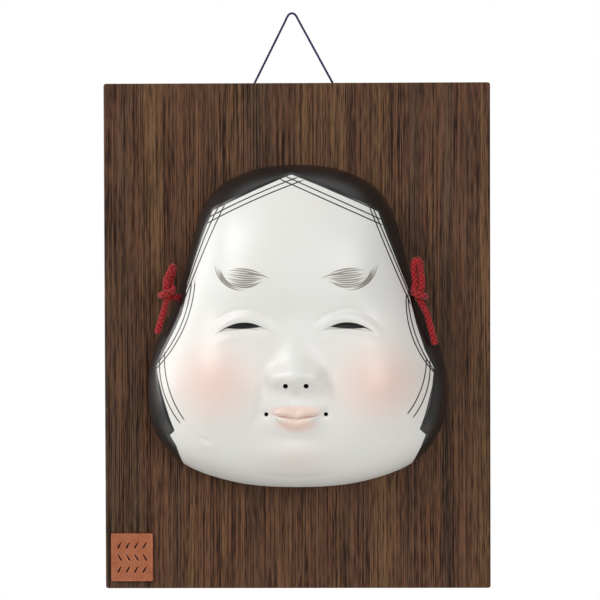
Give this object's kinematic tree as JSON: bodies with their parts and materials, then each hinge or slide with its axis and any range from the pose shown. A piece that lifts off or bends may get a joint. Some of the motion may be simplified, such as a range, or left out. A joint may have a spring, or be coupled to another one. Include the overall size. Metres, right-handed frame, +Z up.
{
  "type": "okame mask wall plaque",
  "caption": "Round-cheeked white ceramic mask with black painted hair and red tie cords at its ears, fixed on an upright dark wooden board that hangs by a thin cord.",
  "frame": {"origin": "middle of the board's flat back, where it lies on the wall", "axes": "+Z up along the board's longer side, +Y into the wall, so the mask faces -Y"},
  "size_m": [0.206, 0.0687, 0.3083],
  "materials": {
    "dark_wood": "dark brown stained wood with straight upright grain, thin satin coat",
    "white_glaze": "satin white over ceramic, with satin black painted hair and soft peach blush",
    "red_braid": "round braided cord",
    "copper_plate": "satin copper colour, dark in the strokes",
    "navy_cord": "thin twisted cord",
    "screw_eye_metal": "plain bright metal"
  },
  "bodies": {
    "root": {"backboard": "dark_wood", "mask": "white_glaze", "left_tie_cord": "red_braid", "right_tie_cord": "red_braid", "name_plate": "copper_plate", "hanging_cord": "navy_cord", "left_screw_eye": "screw_eye_metal", "right_screw_eye": "screw_eye_metal"}
  },
  "joints": []
}
